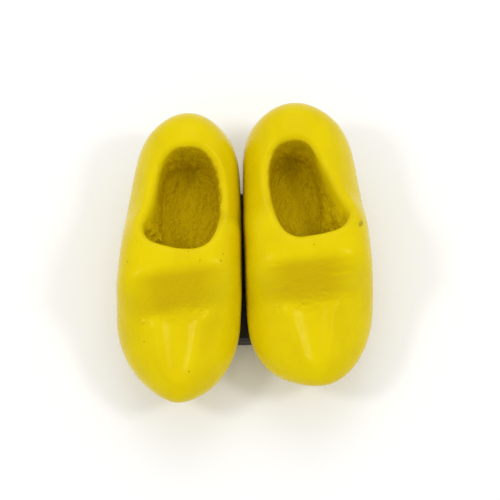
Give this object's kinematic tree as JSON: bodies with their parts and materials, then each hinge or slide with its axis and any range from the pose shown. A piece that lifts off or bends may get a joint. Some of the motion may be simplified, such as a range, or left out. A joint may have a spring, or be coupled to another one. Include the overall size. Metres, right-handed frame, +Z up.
{
  "type": "miniature wooden clog pair on a magnet",
  "caption": "Pair of small painted wooden clogs with pointed toes and hollow insides, glued side by side on a round black magnet.",
  "frame": {"origin": "centre of the magnet's outer flat face, the face the pair rests or sticks on", "axes": "+Z up through the soles; toes towards -Y, heels towards +Y; +X to the right of someone the toes point at"},
  "size_m": [0.035, 0.0421, 0.0186],
  "materials": {
    "painted_wood": "satin-gloss yellow enamel brushed over carved poplar",
    "ferrite": "matt sintered black ferrite",
    "glue": "hardened amber contact glue"
  },
  "bodies": {
    "root": {"clog_left": "painted_wood", "clog_right": "painted_wood", "magnet": "ferrite", "glue_pad_left": "glue", "glue_pad_right": "glue"}
  },
  "joints": []
}
